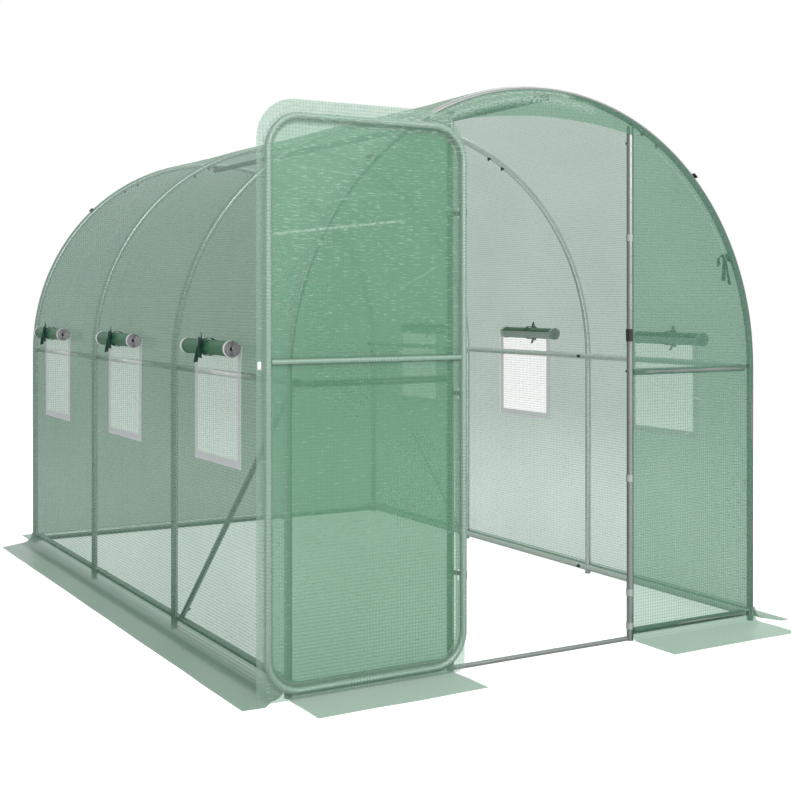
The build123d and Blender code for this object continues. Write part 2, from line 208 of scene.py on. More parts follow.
# Lighter copy for the door loop and bar under the sleeve film: painted light in place of the tube's shade.
sleeved_tube = metal("sleeved_tube", (0.74, 0.76, 0.75), 0.55)
finish_nodes(sleeved_tube, ("door_frame", "door_mid_bar"))
# Darkest copy for the hinge straps, and for the bolts below: painted shade.
hinge_steel = metal("zinc_hinge", (0.15, 0.17, 0.16), 0.68, 420.0)
finish_nodes(hinge_steel, ("post_hinge_straps", "door_hinge_straps"))


# Fittings that came as moulded plastic: black clips and latch keeper, grey clips and a white latch plate.
# The nylon has a dull grain, and the white plate is smoother.
def moulded_plastic(name, colour, roughness):
    """A moulded plastic with a fine grain."""
    finish, graph = blank_finish(name)
    place = add_node(graph, "ShaderNodeTexCoord").outputs["Object"]
    grain = add_node(graph, "ShaderNodeTexNoise", {"Vector": place, "Scale": 900.0, "Detail": 2.0})
    bump = add_node(graph, "ShaderNodeBump", {"Height": grain.outputs[0], "Strength": 0.2, "Distance": 0.0003})
    cloud = add_node(graph, "ShaderNodeTexNoise", {"Vector": place, "Scale": 40.0})
    tone = remap(graph, cloud.outputs[0], 0.0, 1.0, 0.85, 1.12)
    shade = add_node(graph, "ShaderNodeVectorMath", {0: colour, "Scale": tone}, operation="SCALE")
    body = add_node(graph, "ShaderNodeBsdfPrincipled", {
        "Base Color": shade.outputs[0], "Roughness": roughness, "Normal": bump.outputs[0]})
    add_node(graph, "ShaderNodeOutputMaterial", {"Surface": body.outputs[0]})
    return finish


black_nylon = moulded_plastic("black_nylon", (0.012, 0.013, 0.014), 0.45)
grey_clip = moulded_plastic("grey_clip", (0.40, 0.42, 0.41), 0.5)
white_nylon = moulded_plastic("white_nylon", (0.86, 0.87, 0.87), 0.35)
finish_nodes(black_nylon, ("hoop_clips", "latch_keeper"))
finish_nodes(grey_clip, ("post_clips",))
finish_nodes(white_nylon, ("door_latch_plate",))


# The cover film: clear green polyethylene on a woven scrim, about 0.2 mm thick.
# It lets about half the light straight through, tinted green, and the scrim shows as a grid of threads.
thread_pitch = 0.0113
thread_w = 0.0030
film_tint = (0.84, 0.955, 0.885, 1)
leg_top = 0.985
# How far a painted fold highlight fades in at its ends.
highlight_fade = 0.05


def thread_grid(graph, sides, pitch, core, edge):
    """Threads both ways at a pitch: full within core of a thread's middle, and gone at edge."""
    lines = []
    for axis in ("X", "Y"):
        off = combine(graph, "PINGPONG", sides.outputs[axis], pitch / 2)
        lines.append(remap(graph, off, core, edge, 1.0, 0.0))
    return combine(graph, "MAXIMUM", *lines)


def fold_highlight(graph, weave, sides, bend, half_w, reach, strength, evenness=0.1):
    """A narrow painted highlight in the film, along a fold or bend or over a tube behind it, straight or round the
    arch, between two places across it.

    bend is a slope and an offset for a straight line, or the radius of an arch. evenness is 1 for an unbroken line.
    """
    if len(bend) == 2:
        line = combine(graph, "MULTIPLY_ADD", sides.outputs["X"], *bend)
        off = combine(graph, "SUBTRACT", sides.outputs["Y"], line)
    else:
        spoke = add_node(graph, "ShaderNodeVectorMath", {0: weave, 1: (0, leg_top, 0)}, operation="SUBTRACT")
        length = add_node(graph, "ShaderNodeVectorMath", {0: spoke.outputs[0]}, operation="LENGTH")
        off = combine(graph, "SUBTRACT", length.outputs["Value"], bend[0])
    fine = add_node(graph, "ShaderNodeMapping", {"Vector": weave, "Scale": (70.0, 230.0, 1.0)})
    broken = add_node(graph, "ShaderNodeTexNoise", {"Vector": fine.outputs[0], "Scale": 1.0, "Detail": 2.0})
    shares = [
        remap(graph, sides.outputs["X"], reach[0], reach[0] + highlight_fade, 0.0, 1.0),
        remap(graph, sides.outputs["X"], reach[1] - highlight_fade, reach[1], 1.0, 0.0),
        remap(graph, broken.outputs[0], 0.36, 0.62, evenness, 1.0)]
    if len(bend) == 1:
        shares.append(remap(graph, sides.outputs["Y"], leg_top, leg_top + 0.1, 0.0, 1.0))
    mark = remap(graph, combine(graph, "ABSOLUTE", off), 0.0, half_w, strength, 0.0)
    for share in shares:
        mark = combine(graph, "MULTIPLY", mark, share)
    return mark


def woven_film(name, film_green, thread_green, cover, thread_cover, glints, sheen=0.25, haze=(0.15, 0.25, 0.19),
               crease_highlights=None, fold_highlights=()):
    """Clear film on a scrim. cover is the share of light that the film stops.

    The crease setting names a way of the cloth, and where painted highlights on small creases start and get dense.
    The fold settings are single painted highlights along folds and over tubes, each drawn as the fold highlight
    above.
    """
    film, graph = blank_finish(name)
    weave = add_node(graph, "ShaderNodeUVMap", uv_map="weave").outputs[0]
    sides = add_node(graph, "ShaderNodeSeparateXYZ", {0: weave})
    scrim = thread_grid(graph, sides, thread_pitch, thread_w * 0.35, thread_w * 0.75)
    stretch = add_node(graph, "ShaderNodeMapping", {"Vector": weave, "Scale": (34.0, 260.0, 1.0)})
    crinkle = add_node(graph, "ShaderNodeTexNoise", {"Vector": stretch.outputs[0], "Scale": 1.0, "Detail": 3.0})
    streaks = crinkle.outputs[0]
    if crease_highlights:
        axis, start, stop, gain = crease_highlights
        nearer = remap(graph, sides.outputs[axis], start, stop, 0.0, gain)
        gathers = add_node(graph, "ShaderNodeTexNoise", {"Vector": weave, "Scale": 3.4, "Detail": 2.0})
        streaks = combine(graph, "ADD", streaks, combine(graph, "MULTIPLY", nearer, gathers.outputs[0]))
    # Painted highlights: glints where the stretched noise peaks, denser where creased, and single fold lines. They
    # pale the colour and make the film more solid there.
    glint = remap(graph, streaks, 0.62, 0.74, 0.0, glints)
    for highlight_sizes in fold_highlights:
        glint = combine(graph, "MAXIMUM", glint, fold_highlight(graph, weave, sides, *highlight_sizes))
    cloud = add_node(graph, "ShaderNodeTexNoise", {"Vector": weave, "Scale": 2.2, "Detail": 2.0})
    tint = add_node(graph, "ShaderNodeMix", {
        "Factor": scrim, "A": (*film_green, 1), "B": (*thread_green, 1)}, data_type="RGBA")
    pale = add_node(graph, "ShaderNodeMix", {
        "Factor": glint, "A": tint.outputs["Result"], "B": (0.75, 0.9, 0.8, 1)}, data_type="RGBA")
    bump = add_node(graph, "ShaderNodeBump", {"Height": crinkle.outputs[0], "Strength": 0.35, "Distance": 0.002})
    bump = add_node(graph, "ShaderNodeBump", {
        "Height": scrim, "Strength": 0.25, "Distance": 0.0004, "Normal": bump.outputs[0]})
    face = add_node(graph, "ShaderNodeBsdfPrincipled", {
        "Base Color": pale.outputs["Result"], "Roughness": 0.34, "Specular IOR Level": 0.32,
        "Normal": bump.outputs[0], "Coat Weight": sheen, "Coat Roughness": 0.12})
    back = add_node(graph, "ShaderNodeBsdfTranslucent", {"Color": (*haze, 1)})
    solid = add_node(graph, "ShaderNodeMixShader", {0: 0.4, 1: face.outputs[0], 2: back.outputs[0]})
    patch = remap(graph, cloud.outputs[0], 0.0, 1.0, -0.05, 0.05)
    density = combine(graph, "ADD", remap(graph, scrim, 0.0, 1.0, cover, thread_cover), patch)
    density = combine(graph, "ADD", density, glint, clamp=True)
    clear = add_node(graph, "ShaderNodeBsdfTransparent", {"Color": film_tint})
    film_shader = add_node(graph, "ShaderNodeMixShader", {0: density, 1: clear.outputs[0], 2: solid.outputs[0]})
    add_node(graph, "ShaderNodeOutputMaterial", {"Surface": film_shader.outputs[0]})
    return film


def cut_cloth(corner, size, cells):
    """A flat piece of film in metres, cut to size and divided finely enough to drape."""
    cloth = bmesh.new()
    bmesh.ops.create_grid(cloth, x_segments=cells[0], y_segments=cells[1], size=0.5)
    bmesh.ops.scale(cloth, vec=(size[0], size[1], 1), verts=cloth.verts)
    bmesh.ops.translate(cloth, vec=(corner[0] + size[0] / 2, corner[1] + size[1] / 2, 0), verts=cloth.verts)
    return cloth


def split_cloth(cloth, spot, way):
    """Adds edges along a line through a spot, across the way given, so that a cut can end there."""
    bmesh.ops.bisect_plane(cloth, geom=cloth.verts[:] + cloth.edges[:] + cloth.faces[:],
                           plane_co=spot, plane_no=way, dist=1e-5)


def lay_weave(cloth):
    """Smooths the cloth and keeps its flat place for the weave."""
    weave = cloth.loops.layers.uv.new("weave")
    for face in cloth.faces:
        face.smooth = True
        for loop in face.loops:
            loop[weave].uv = loop.vert.co.xy


def hang_cloth(name, cloth, finish, hang, body, turned=False):
    """Moves flat film to where it hangs."""
    lay_weave(cloth)
    for vert in cloth.verts:
        vert.co = hang(vert.co.x, vert.co.y)
    if turned:
        bmesh.ops.reverse_faces(cloth, faces=cloth.faces)
    piece = make_object(name, cloth, finish)
    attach(piece, body)
    return piece


# Long cover: one sheet from the foot of the left wall over the hoops to the foot of the right.
# It is stretched over the tubes, so it sags a few millimetres between them.
# Painted glints on small creases grow dense towards the cover's front end, over the front hoop.
cover_green = woven_film("cover_green", (0.03, 0.27, 0.12), (0.12, 0.21, 0.155), 0.48, 0.65, 0.25,
                         haze=(0.17, 0.22, 0.19), crease_highlights=("X", -1.22, -1.5, 0.22))
tube_r = 0.0125
bow_r = 0.9875
end_hoop_y = 1.5
film_gap = 0.0015
film_r = bow_r + tube_r + film_gap
sag_depth, sag_gather = 0.0045, 0.0022
wall_foot = 0.05
wall_girth = leg_top - wall_foot
cover_girth = 2 * wall_girth + math.pi * film_r
cover_end = 1.5142
window_w = 0.412
window_foot = 0.672
window_h = 0.414
window_ys = {-1: (-0.95, 0.05, 1.05), 1: (-0.992, 0.008, 1.008)}


def bay_sag(y, girth):
    """How far the film lies inside the line of the hoops."""
    share = math.sin(math.pi * (y + end_hoop_y)) ** 2
    broad = noise.noise(Vector((y * 7.0, girth * 2.6, 3.0)))
    narrow = noise.noise(Vector((y * 19.0, girth * 6.0, 8.0)))
    return share * (sag_depth + sag_gather * (broad + 0.5 * narrow)) if abs(y) < end_hoop_y else 0.0


def over_hoops(y, girth, lift=0.0):
    """Where a point of the long cover hangs: along the tunnel, and round it from the left foot."""
    radius = film_r - bay_sag(y, girth) + lift
    past = max(0.0, abs(y) - end_hoop_y)
    if past:
        radius = bow_r + math.sqrt(max(0.0, (tube_r + film_gap) ** 2 - past ** 2)) + lift
    round_girth = girth - wall_girth
    if round_girth < 0:
        return Vector((-radius, y, leg_top + round_girth))
    if round_girth > math.pi * film_r:
        return Vector((radius, y, leg_top - (round_girth - math.pi * film_r)))
    turn = round_girth / film_r
    return Vector((-radius * math.cos(turn), y, leg_top + radius * math.sin(turn)))


def window_girth(side, height):
    """The place round the cover of a height on the left or right wall."""
    girth = height - wall_foot if height < leg_top else wall_girth + film_r * math.asin((height - leg_top) / film_r)
    return girth if side < 0 else cover_girth - girth


long_cloth = cut_cloth((-cover_end, 0.0), (2 * cover_end, cover_girth), (150, 240))
cuts = [((y + s * window_w / 2, 0, 0), (1, 0, 0)) for side in (-1, 1) for y in window_ys[side] for s in (-1, 1)]
cuts += [((0, window_girth(side, height), 0), (0, 1, 0))
         for side in (-1, 1) for height in (window_foot, window_foot + window_h)]
for spot, way in cuts:
    split_cloth(long_cloth, spot, way)
holes = []
for face in long_cloth.faces:
    spot = face.calc_center_median()
    for side in (-1, 1):
        low, high = sorted((window_girth(side, window_foot), window_girth(side, window_foot + window_h)))
        if low < spot.y < high and any(abs(spot.x - y) < window_w / 2 for y in window_ys[side]):
            holes.append(face)
bmesh.ops.delete(long_cloth, geom=holes, context="FACES")
long_cover = hang_cloth("long_cover", long_cloth, cover_green, over_hoops, "frame")
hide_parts("left_wall_film", "right_wall_film", "roof_film")


# End sheets: the back wall, two front panels beside the doorway and a header over it.
# Each is cut to the arch of the hoops and welded to the long cover.
arch_r = 0.989
doorway_half = 0.392
end_foot = 0.02
header_mid, header_drop = 1.88, 0.04
post_x = 0.388
slack = 0.004
# The front sheets take a lighter copy of the cover's film, painted light where they face the lamp, with painted
# highlights along folds in the right panel and round the arch over the front hoop. The back wall keeps the cover's
# film.
lit_end_green = woven_film("lit_end_green", (0.095, 0.36, 0.195), (0.17, 0.27, 0.21), 0.46, 0.63, 0.25, sheen=0.4, fold_highlights=(
    ((-0.28, 1.067), 0.0035, (0.47, 0.76), 0.8), ((0.22, 1.065), 0.003, (0.77, 0.90), 0.6),
    ((0.945,), 0.003, (0.46, 0.90), 0.65), ((0.956,), 0.030, (-0.56, 0.24), 0.70),
    ((0.978,), 0.013, (-0.56, 0.14), 0.75, 0.4)))


def arch_top(x):
    """The height of the arch over a point across the tunnel."""
    return leg_top + math.sqrt(max(0.0, arch_r ** 2 - x * x))


def end_sheet(name, y, left, right, cells, foot, replaced):
    """An upright sheet from foot(x) up to the arch, closely spaced where the arch is steep."""
    start, stop = math.asin(left / arch_r), math.asin(right / arch_r)
    cloth = cut_cloth((start, 0.0), (stop - start, 1.0), cells)
    for vert in cloth.verts:
        x = arch_r * math.sin(vert.co.x)
        low = foot(x)
        vert.co = (x, low + (arch_top(x) - low) * vert.co.y, 0)
    at_back = y > 0
    outward = 1 if at_back else -1

    def upright(x, z):
        """Pulls the sheet in a little where no tube holds it."""
        free = min(1.0, abs(abs(x) - post_x) / 0.1) * min(1.0, (arch_top(x) - z) / 0.08)
        wave = 0.5 + 0.5 * noise.noise(Vector((x * 6.0, z * 4.0, y)))
        return Vector((x, y - outward * slack * wave * max(0.0, free), z))

    area = sum(face.calc_area() for face in cloth.faces)
    piece = hang_cloth(name, cloth, cover_green if at_back else lit_end_green, upright, "frame", turned=at_back)
    crown = 0.0 if left < 0 < right else left
    box_w, box_h = right - left, max(arch_top(x) for x in (left, right, crown)) - foot(0)
    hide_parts(replaced)


def straight_edge(x):
    """The lower edge of the walls, just above the ground."""
    return end_foot


def header_edge(x):
    """The lower edge of the header, a shallow arch."""
    return header_mid - header_drop * (x / doorway_half) ** 2


end_sheet("back_cover", cover_end, -arch_r, arch_r, (90, 90), straight_edge, "back_wall_film")
end_sheet("front_left_cover", -cover_end, -arch_r, -doorway_half, (36, 90), straight_edge, "front_left_panel")
end_sheet("front_right_cover", -cover_end, doorway_half, arch_r, (36, 90), straight_edge, "front_right_panel")
end_sheet("front_header", -cover_end, -doorway_half, doorway_half, (40, 6), header_edge, "front_header_film")

# Ground flaps: the cover turns outwards at the foot and lies on the ground, to be weighted or buried.
# They are a closer weave of the same film, with a slight lift at the free edge. The side and back flaps take a
# darker copy, painted shade, with a painted highlight along the bend; the front flaps take a lighter copy, painted
# light.
shaded_flap_green = woven_film("shaded_flap_green", (0.075, 0.32, 0.165), (0.10, 0.24, 0.15), 0.64, 0.86, 0.12, fold_highlights=(
    ((0.0, 0.060), 0.045, (-1.0, 4.5), 0.26, 0.9),))
lit_front_flap_green = woven_film("lit_front_flap_green", (0.12, 0.39, 0.22), (0.17, 0.32, 0.22), 0.57, 0.76, 0.12)
flap_rest, flap_lift = 0.0012, 0.004
side_turn, end_turn = 0.05, 0.02
left_reach, right_reach, end_reach = 0.118, 0.068, 0.201
outer_end, inner_end = 1.0, 0.39


def ground_flap(name, across, reach, turn_r, fold, ends, finish, replaced):
    """A flap along one wall. ends(out) gives where its two ends lie at a distance out."""
    arc = turn_r * math.pi / 2
    span = ends(0.0)[1] - ends(0.0)[0]
    cloth = cut_cloth((0.0, 0.0), (1.0, arc + reach), (max(12, int(span / 0.03)), 18))

    def lay(share, out):
        """From the foot of the wall, round the fold and out over the ground."""
        if out < arc:
            angle = out / turn_r
            away, height = turn_r * (1 - math.cos(angle)), turn_r * (1 - math.sin(angle))
        else:
            away, height = turn_r + out - arc, 0.0
        start, stop = ends(max(0.0, (out - arc) / reach))
        along = start + (stop - start) * share
        lift = 0.5 + 0.5 * noise.noise(Vector((along * 5.0, away * 9.0, fold)))
        height += flap_rest + flap_lift * lift * min(1.0, away / 0.1)
        return across(along, fold + away, height)

    piece = hang_cloth(name, cloth, finish, lay, "frame")
    weave = piece.data.uv_layers["weave"].data
    for loop in piece.data.loops:
        weave[loop.index].uv.x = weave[loop.index].uv.x * span
    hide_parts(*replaced)


def side_ends(front, back):
    """The flap's ends spread a little as it leaves the wall."""
    return lambda share: (-cover_end - (front - cover_end) * min(1.0, share * 3),
                          cover_end - (cover_end - back) * share)


def square_ends(left, right):
    """The flap's ends run straight out from the wall."""
    return lambda share: (left, right)


ground_flap("left_ground_flap", lambda along, away, height: Vector((-away, along, height)), left_reach, side_turn,
            film_r, side_ends(1.563, 1.44), shaded_flap_green, ["left_flap"])
ground_flap("right_ground_flap", lambda along, away, height: Vector((away, along, height)), right_reach, side_turn,
            film_r, side_ends(1.578, 1.44), shaded_flap_green, ["right_flap"])
ground_flap("back_ground_flap", lambda along, away, height: Vector((along, away, height)), end_reach, end_turn,
            cover_end, square_ends(-outer_end, outer_end), shaded_flap_green, ["back_flap"])
for name, left, right, replaced in (("front_left_ground_flap", -outer_end, -inner_end, ["front_flaps"]),
                                    ("front_right_ground_flap", inner_end, outer_end, [])):
    ground_flap(name, lambda along, away, height: Vector((along, -away, height)), end_reach, end_turn,
                cover_end, square_ends(left, right), lit_front_flap_green, replaced)

# Windows: a white insect net in each bay, edged all round with a pale webbing 28 mm wide.
# The net follows the wall, so its top leans in a little with the hoops.
border_w = 0.028
net_inset = 0.004
border_lift, net_lift = 0.0012, 0.0004
net_pitch, net_thread = 0.0019, 0.00026
scrim_thread = 0.0015


def net_weave(name):
    """Open white netting, with the green scrim lines of the cover's cloth."""
    net, graph = blank_finish(name)
    weave = add_node(graph, "ShaderNodeUVMap", uv_map="weave").outputs[0]
    sides = add_node(graph, "ShaderNodeSeparateXYZ", {0: weave})
    fine = thread_grid(graph, sides, net_pitch, net_thread * 0.4, net_thread * 0.7)
    coarse = thread_grid(graph, sides, thread_pitch, scrim_thread * 0.4, scrim_thread * 0.7)
    tint = add_node(graph, "ShaderNodeMix", {
        "Factor": coarse, "A": (0.90, 0.93, 0.91, 1), "B": (0.56, 0.75, 0.64, 1)}, data_type="RGBA")
    thread = add_node(graph, "ShaderNodeBsdfPrincipled", {"Base Color": tint.outputs["Result"], "Roughness": 0.6})
    cover = combine(graph, "MAXIMUM", combine(graph, "MULTIPLY", fine, 0.70),
                    combine(graph, "MULTIPLY", coarse, 0.34))
    clear = add_node(graph, "ShaderNodeBsdfTransparent")
    netting = add_node(graph, "ShaderNodeMixShader", {0: cover, 1: clear.outputs[0], 2: thread.outputs[0]})
    add_node(graph, "ShaderNodeOutputMaterial", {"Surface": netting.outputs[0]})
    return net


def webbing(name, colour, rib, open_share=0.0):
    """A close woven tape with a fine rib across it. open_share is how much light it lets through."""
    tape, graph = blank_finish(name)
    weave = add_node(graph, "ShaderNodeUVMap", uv_map="weave").outputs[0]
    ribs = add_node(graph, "ShaderNodeTexWave", {"Vector": weave, "Scale": rib, "Distortion": 0.6})
    cloud = add_node(graph, "ShaderNodeTexNoise", {"Vector": weave, "Scale": 60.0, "Detail": 3.0})
    tone = remap(graph, cloud.outputs[0], 0.0, 1.0, 0.82, 1.1)
    shade = add_node(graph, "ShaderNodeVectorMath", {0: colour, "Scale": tone}, operation="SCALE")
    bump = add_node(graph, "ShaderNodeBump", {"Height": ribs.outputs["Fac"], "Strength": 0.3, "Distance": 0.0004})
    cloth = add_node(graph, "ShaderNodeBsdfPrincipled", {
        "Base Color": shade.outputs[0], "Roughness": 0.7, "Normal": bump.outputs[0]})
    if open_share:
        clear = add_node(graph, "ShaderNodeBsdfTransparent")
        cloth = add_node(graph, "ShaderNodeMixShader", {
            0: 1 - open_share, 1: clear.outputs[0], 2: cloth.outputs[0]})
    add_node(graph, "ShaderNodeOutputMaterial", {"Surface": cloth.outputs[0]})
    return tape


insect_net = net_weave("insect_net")
pale_webbing = webbing("pale_webbing", (0.66, 0.645, 0.70), 260.0, 0.28)
for side, word in ((-1, "left"), (1, "right")):
    replaced = [f"{word}_window_screens"]
    foot_girth, head_girth = sorted((window_girth(side, window_foot), window_girth(side, window_foot + window_h)))
    tall = head_girth - foot_girth
    low_edge, high_edge = foot_girth + border_w, head_girth - border_w
    for number, y in enumerate(window_ys[side], 1):
        start = y - window_w / 2
        near, far = start + border_w, y + window_w / 2 - border_w
        edging = cut_cloth((start, foot_girth), (window_w, tall), (28, 28))
        for spot, way in (((near, 0, 0), (1, 0, 0)), ((far, 0, 0), (1, 0, 0)),
                          ((0, low_edge, 0), (0, 1, 0)), ((0, high_edge, 0), (0, 1, 0))):
            split_cloth(edging, spot, way)
        inside = [face for face in edging.faces if near < face.calc_center_median().x < far
                  and low_edge < face.calc_center_median().y < high_edge]
        bmesh.ops.delete(edging, geom=inside, context="FACES")
        border = hang_cloth(f"{word}_window_border_{number}", edging, pale_webbing,
                            lambda along, girth: over_hoops(along, girth, border_lift), "frame")
        net_size = (window_w - 2 * net_inset, tall - 2 * net_inset)
        netting = cut_cloth((start + net_inset, foot_girth + net_inset), net_size, (24, 24))
        net = hang_cloth(f"{word}_window_net_{number}", netting, insect_net,
                         lambda along, girth: over_hoops(along, girth, net_lift), "frame")
        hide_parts(*replaced)
        replaced = []

# Window flaps, rolled up above the nets and tied: film wound from its free end in about four loose turns.
# A white webbing along both sides makes the rims; its edges, the coils at the ends, take a dark grey copy, painted
# shade.
roll_turn = 0.0054
roll_core = 0.0062
roll_r = 0.0288
roll_length = math.pi * (roll_r ** 2 - roll_core ** 2) / roll_turn
roll_start, roll_loose = 2.4, 0.0007
roll_inset = 0.002
rim_w, rim_thick = 0.016, 0.0042
rolled_green = woven_film("rolled_green", (0.045, 0.25, 0.105), (0.06, 0.27, 0.13), 0.97, 1.0, 0.05, sheen=0.1)
rim_webbing = webbing("rim_webbing", (0.85, 0.85, 0.86), 260.0)
# Dark grey copy of the rim webbing for the coil ends: painted shade.
shaded_coil_webbing = webbing("shaded_coil_webbing", (0.27, 0.25, 0.28), 400.0)


def wind(side, centre, along, out):
    """A point of the wound flap, from its core outwards."""
    angle = (math.sqrt(roll_core ** 2 + roll_turn * out / math.pi) - roll_core) * 2 * math.pi / roll_turn
    radius = roll_core + roll_turn * angle / (2 * math.pi)
    radius += roll_loose * noise.noise(Vector((along * 11.0, angle * 0.7, side)))
    angle += roll_start
    return Vector((centre.x + side * radius * math.cos(angle), along, centre.z - radius * math.sin(angle)))


for side, word in ((-1, "left"), (1, "right")):
    replaced = [f"{word}_window_rolls"]
    roll_low, roll_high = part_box(f"{word}_window_rolls")
    for number, y in enumerate(window_ys[side], 1):
        middle = Vector(((roll_low.x + roll_high.x) / 2, y, (roll_low.z + roll_high.z) / 2))
        roll_size = (window_w - 2 * roll_inset, roll_length)
        flap_cloth = cut_cloth((y - window_w / 2 + roll_inset, 0.0), roll_size, (20, 110))
        roll = hang_cloth(f"{word}_rolled_flap_{number}", flap_cloth, rolled_green,
                          lambda along, out: wind(side, middle, along, out), "frame")
        for end in (-1, 1):
            start = y + end * window_w / 2 - (rim_w if end > 0 else 0.0)
            tape = cut_cloth((start, 0.0), (rim_w, roll_length), (2, 110))
            rim = hang_cloth(f"{word}_roll_rim_{number}{'b' if end > 0 else 'a'}", tape, rim_webbing,
                             lambda along, out: wind(side, middle, along, out), "frame")
            rim.data.materials.append(shaded_coil_webbing)
            thick = rim.modifiers.new("webbing", "SOLIDIFY")
            thick.thickness = rim_thick
            thick.offset = 0.0
            thick.material_offset_rim = 1
        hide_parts(*replaced)
        replaced = []

# Ties: dark green ribbon round each roll, knotted on top with two loops and two tails.
# The same ribbon hangs in a flat bow from the front hoop at the right, inside the front panel.
ribbon_thick = 0.0008
roll_bow_w, flat_bow_w = 0.016, 0.018
knot_out, knot_up = 0.026, 0.0245
hoop_knot = Vector((0.871, -1.4835, 1.406))
tie_ribbon = webbing("tie_ribbon", (0.006, 0.055, 0.034), 500.0)
finish_nodes(tie_ribbon, ("window_roll_ties",))

# Runs of ribbon from the knot: four guide points (along the roll, outwards, up), and the way its width lies.
roll_bow = (
    (((0, 0, 0), (-0.006, 0.004, 0.018), (0.004, 0.004, 0.034), (0.010, -0.004, 0.006)), (0, 0.4, 1)),
    (((0.004, 0, 0.002), (0.016, 0.006, 0.016), (0.022, 0.010, -0.004), (0.004, 0.006, -0.014)), (0.3, 1, 0.5)),
    (((0, 0, 0), (-0.014, 0.008, 0.006), (-0.022, 0.010, -0.022), (-0.002, 0.008, -0.016)), (0.6, 0.4, 0.6)),
    (((0, 0.002, 0), (0.006, 0.010, -0.020), (0.014, 0.012, -0.044), (0.032, 0.010, -0.078)), (1, 0.3, 0.3)),
    (((0, 0.002, 0), (-0.004, 0.010, -0.018), (0.002, 0.010, -0.044), (0.002, 0.006, -0.062)), (1, 0, -0.2)),
    (((-0.009, 0.003, -0.006), (-0.004, 0.009, 0.003), (0.004, 0.009, 0.003), (0.009, 0.003, -0.006)), (0, 0.2, 1)))
# The same for the bow on the hoop: across the tunnel, into it and up.
flat_bow = (
    (((0, 0, 0), (-0.022, 0, 0.014), (-0.040, 0.003, -0.006), (-0.026, 0.003, -0.034)), (1, 0, 0.8)),
    (((0, 0, 0), (0.012, -0.003, 0.020), (0.028, -0.003, 0.004), (0.020, 0.0, -0.018)), (1, 0, -0.4)),
    (((-0.004, 0, 0), (-0.007, -0.005, -0.03), (-0.010, -0.005, -0.06), (-0.006, 0.0, -0.092)), (1, 0, 0)),
    (((0.004, 0, 0), (0.014, 0.003, -0.035), (0.018, 0.003, -0.07), (0.026, 0.0, -0.107)), (1, 0.4, 0)),
    (((-0.011, -0.003, -0.010), (-0.006, -0.007, 0.008), (0.008, -0.007, 0.008), (0.012, -0.003, -0.012)),
     (0.3, 0, 1)))


def ribbon(name, wide, runs):
    """Flat ribbon along smooth runs, each of four guide points and the way its width lies."""
    cloth = bmesh.new()
    weave = cloth.loops.layers.uv.new("weave")
    for guide, way in runs:
        a, b, c, d = guide
        axis = (d - a).normalized() if (d - a).length > 1e-4 else (0, 0, 1)
        strip = bmesh.new()
        bmesh.ops.create_grid(strip, x_segments=14, y_segments=1, size=0.5)
        for vert in strip.verts:
            share, across = vert.co.x + 0.5, vert.co.y
            rest = 1 - share
            spot = a * rest ** 3 + b * 3 * rest ** 2 * share + c * 3 * rest * share ** 2 + d * share ** 3
            twist = Matrix.Rotation(0.5 * (share - 0.5), 3, axis)
            vert.co = spot + twist @ Vector(way).normalized() * across * wide
        mesh = bpy.data.meshes.new("strip")
        strip.to_mesh(mesh)
        strip.free()
        cloth.from_mesh(mesh)
        bpy.data.meshes.remove(mesh)
    for face in cloth.faces:
        face.smooth = True
        for loop in face.loops:
            loop[weave].uv = (loop.vert.co.x + loop.vert.co.y, loop.vert.co.z)
    length = sum(face.calc_area() for face in cloth.faces) / wide
    piece = make_object(name, cloth, tie_ribbon)
    thick = piece.modifiers.new("thickness", "SOLIDIFY")
    thick.thickness = ribbon_thick
    thick.offset = 0.0
    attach(piece, "frame")


for side, word in ((-1, "left"), (1, "right")):
    roll_low, roll_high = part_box(f"{word}_window_rolls")
    for number, y in enumerate(window_ys[side], 1):
        middle = (roll_low + roll_high) / 2
        knot = Vector((middle.x + side * knot_out, y, middle.z + knot_up))
        runs = [([knot + Vector((side * out, along, up)) for along, out, up in guide], way)
                for guide, way in roll_bow]
        ribbon(f"{word}_roll_bow_{number}", roll_bow_w, runs)
runs = [([hoop_knot + Vector(point) for point in guide], way) for guide, way in flat_bow]
ribbon("hoop_bow", flat_bow_w, runs)


# Bolts: nuts on washers with a short end of thread, on the inner side of the tubes.
# They hold the hoops' joints, the rails, the door posts and the braces.
washer_r, nut_r, thread_r = 0.0085, 0.0066, 0.003
hoop_ys = (-end_hoop_y, -0.5, 0.5, end_hoop_y)
joint_leans = (27.3, -27.3, 32.0, -32.0)
rail_bolt_in, rail_bolt_end = 0.02, 1.485
post_bolt_heights = (0.9805, 1.813)
brace_bolt_shares = (0.045, 0.955)
bolt_mesh = bmesh.new()


def bolt(at, way):
    """A washer, a nut and an end of thread standing off a tube."""
    way = Vector(way).normalized()
    turn = way.to_track_quat("Z", "Y").to_matrix().to_4x4()
    for radius, corners, start, stop in ((washer_r, 12, -0.0005, 0.0008), (nut_r, 6, 0.0008, 0.0056),
                                         (thread_r, 8, 0.0056, 0.011)):
        place = Matrix.Translation(Vector(at) + way * (start + stop) / 2) @ turn
        bmesh.ops.create_cone(bolt_mesh, cap_ends=True, segments=corners, radius1=radius, radius2=radius,
                              depth=stop - start, matrix=place)


